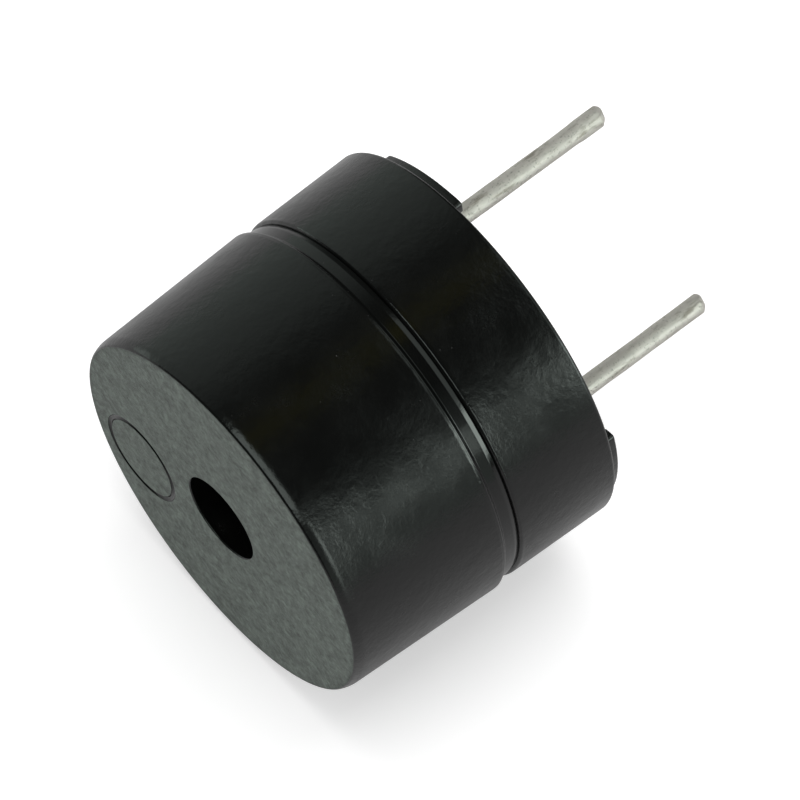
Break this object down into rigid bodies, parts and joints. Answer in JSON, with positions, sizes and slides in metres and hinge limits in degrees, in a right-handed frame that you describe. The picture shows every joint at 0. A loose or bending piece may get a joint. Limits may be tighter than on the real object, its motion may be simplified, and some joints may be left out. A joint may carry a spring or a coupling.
{
  "type": "electromagnetic buzzer",
  "caption": "Round black electromagnetic buzzer with its own oscillator: a two-piece moulded case with a sound hole in a matt face, standoffs on the back and tinned pins for a circuit board.",
  "frame": {"origin": "middle of the plane that the standoffs rest on, which is the top of the circuit board, halfway between the pins", "axes": "+Z along the body's axis to the sounding face, pins along -Z, +X to the negative pin"},
  "size_m": [0.012, 0.012, 0.0158],
  "materials": {
    "case_front": "satin sides, fine spark-eroded grain on the face",
    "case_rear": "satin",
    "tinned_wire": "dipped tin, a little dull",
    "casting_resin": "cast, glossy",
    "spring_steel": "rolled",
    "ferrite": "sintered",
    "plated_iron": "zinc-plated",
    "enamelled_copper": "enamelled wire",
    "board_laminate": "paper laminate",
    "board_copper": "etched foil",
    "chip_moulding": "moulded",
    "chip_ceramic": "glazed",
    "solder_tin": "solder"
  },
  "bodies": {
    "root": {"front_case": "case_front", "rear_case": "case_rear", "negative_pin": "tinned_wire", "positive_pin": "tinned_wire", "resin_seal": "casting_resin", "diaphragm": "spring_steel", "armature_disc": "spring_steel", "ring_magnet": "ferrite", "pole_core": "plated_iron", "yoke_plate": "plated_iron", "drive_winding": "enamelled_copper", "feedback_winding": "enamelled_copper", "coil_leads": "enamelled_copper", "circuit_board": "board_laminate", "board_copper": "board_copper", "transistor_body": "chip_moulding", "transistor_leads": "solder_tin", "resistor_body": "chip_ceramic", "resistor_caps": "solder_tin", "pin_solder": "solder_tin", "lead_solder": "solder_tin"}
  },
  "joints": []
}
